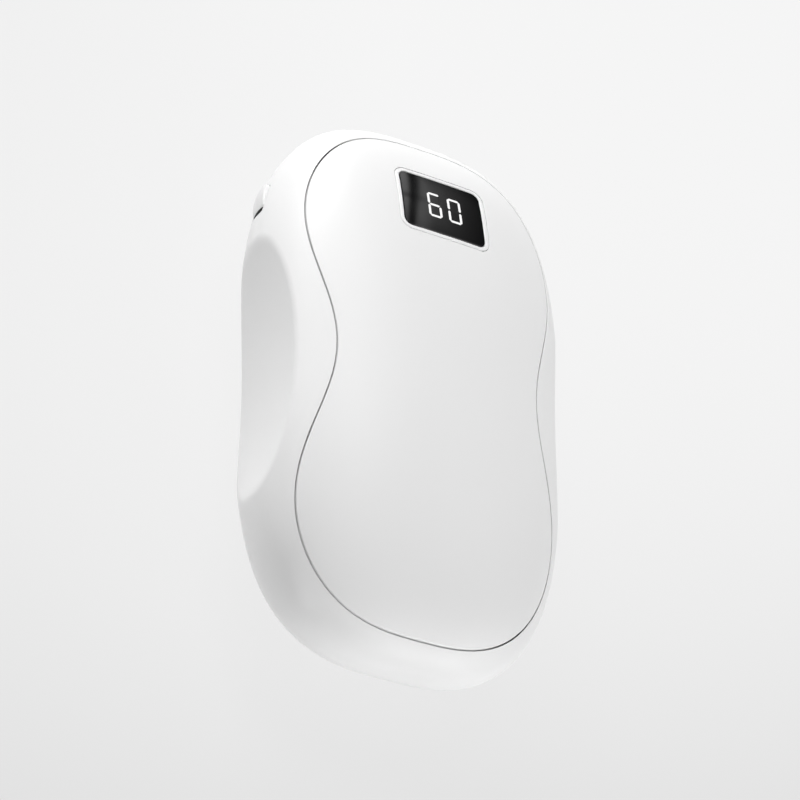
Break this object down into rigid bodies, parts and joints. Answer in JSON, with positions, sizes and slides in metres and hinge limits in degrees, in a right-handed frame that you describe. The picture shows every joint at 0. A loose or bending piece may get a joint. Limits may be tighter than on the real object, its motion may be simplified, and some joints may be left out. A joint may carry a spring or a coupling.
{
  "type": "rechargeable hand warmer",
  "caption": "Pebble-shaped pocket hand warmer with domed hourglass covers, scooped sides, a small number display, a side power button and a charging socket.",
  "frame": {"origin": "under the middle of the body, on the small flat of the back cover that it lies on", "axes": "+X across the body, +Y along it towards the display end, +Z out of the front face"},
  "size_m": [0.0558, 0.0999, 0.0295],
  "materials": {
    "shell_white": "fine satin texture",
    "bezel_white": "smooth",
    "window_black": "polished, smoked",
    "segment_lit": "glowing white",
    "segment_dark": "smoked",
    "foam_black": "foam",
    "light_block": "matt",
    "steel": "satin",
    "tin": "bright",
    "gold": "plated",
    "board_green": "solder mask",
    "chip_black": "moulded",
    "ferrite": "sintered",
    "ceramic": "fired",
    "plunger_grey": "moulded",
    "pouch": "foil",
    "lead_red": "smooth insulation",
    "lead_black": "smooth insulation",
    "lead_tan": "enamelled",
    "connector": "moulded",
    "tray_grey": "moulded",
    "tape": "adhesive foam",
    "spreader": "rolled sheet",
    "film": "amber film",
    "pad": "soft foam"
  },
  "bodies": {
    "housing": {"housing_ring": "shell_white", "front_cover": "shell_white", "rear_cover": "shell_white", "display_bezel": "bezel_white", "display_window": "window_black", "display_gasket": "foam_black", "lit_segments": "segment_lit", "unlit_segments": "segment_dark", "display_module": "light_block", "display_pins": "tin", "main_board": "board_green", "controller_chip": "chip_black", "charger_chip": "chip_black", "power_inductor": "ferrite", "board_capacitors": "ceramic", "board_resistors": "chip_black", "usb_shell": "steel", "usb_tongue": "chip_black", "usb_contacts": "gold", "switch_body": "chip_black", "switch_pins": "tin", "battery_cell": "pouch", "battery_tabs": "tin", "protection_board": "board_green", "battery_red_lead": "lead_red", "battery_black_lead": "lead_black", "battery_plug": "connector", "battery_socket": "connector", "battery_tray": "tray_grey", "battery_tape": "tape", "board_screws": "steel", "tray_screws": "steel", "front_heat_spreader": "spreader", "rear_heat_spreader": "spreader", "front_heater_film": "film", "rear_heater_film": "film", "front_insulation_pad": "pad", "rear_insulation_pad": "pad", "front_heater_leads": "lead_red", "rear_heater_leads": "lead_red", "thermistor": "chip_black", "thermistor_leads": "lead_tan"},
    "button": {"power_button": "shell_white", "switch_plunger": "plunger_grey"}
  },
  "joints": [
    {"name": "button_press", "type": "slide", "parent": "housing", "child": "button", "axis": [0.9633, -0.2685, 0], "range_m": [0, 0.00035], "stiffness_N_per_m": 600}
  ]
}
